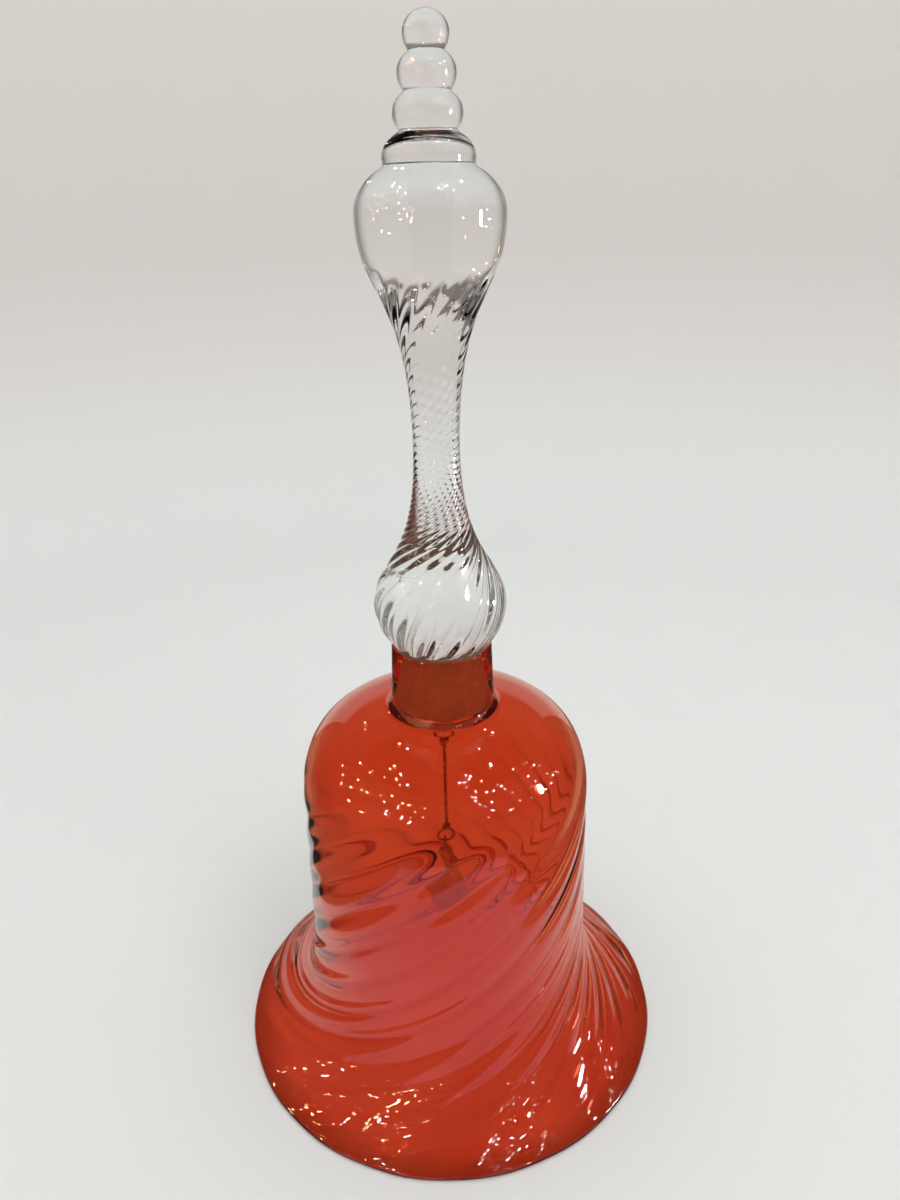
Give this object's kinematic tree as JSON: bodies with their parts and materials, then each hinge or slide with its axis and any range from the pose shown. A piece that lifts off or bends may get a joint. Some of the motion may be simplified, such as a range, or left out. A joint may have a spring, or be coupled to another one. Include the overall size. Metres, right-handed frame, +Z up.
{
  "type": "glass bell",
  "caption": "Blown ruby glass table bell with spiral ribs, a clear solid glass handle set in plaster, and a glass drop clapper on linked wires.",
  "frame": {"origin": "centre of the mouth, on the surface the bell rests on", "axes": "+Z up along the bell's axis, towards the finial; the clapper's long swing is in the XZ plane"},
  "size_m": [0.152, 0.152, 0.3301],
  "materials": {
    "ruby_glass": "polished",
    "clear_glass": "polished",
    "drop_glass": "polished",
    "plaster": "matt",
    "wire": "dull"
  },
  "bodies": {
    "bell": {"bell_shade": "ruby_glass", "handle": "clear_glass", "neck_plaster": "plaster", "clapper_staple": "wire"},
    "upper_ring": {"upper_ring": "wire"},
    "clapper_wire": {"clapper_wire": "wire"},
    "lower_ring": {"lower_ring": "wire"},
    "clapper": {"drop_bail": "wire", "clapper_drop": "drop_glass"}
  },
  "joints": [
    {"name": "upper_ring_sway", "type": "hinge", "parent": "bell", "child": "upper_ring", "pos_m": [0, 0, 0.1266], "axis": [1, 0, 0], "range_deg": [-8, 8]},
    {"name": "wire_swing", "type": "hinge", "parent": "upper_ring", "child": "clapper_wire", "pos_m": [0, 0, 0.12195], "axis": [0, 1, 0], "range_deg": [-31, 31]},
    {"name": "lower_ring_sway", "type": "hinge", "parent": "clapper_wire", "child": "lower_ring", "pos_m": [0, 0, 0.07295], "axis": [1, 0, 0], "range_deg": [-6, 6]},
    {"name": "drop_swing", "type": "hinge", "parent": "lower_ring", "child": "clapper", "pos_m": [0, 0, 0.06815], "axis": [0, 1, 0], "range_deg": [-4, 4]}
  ]
}
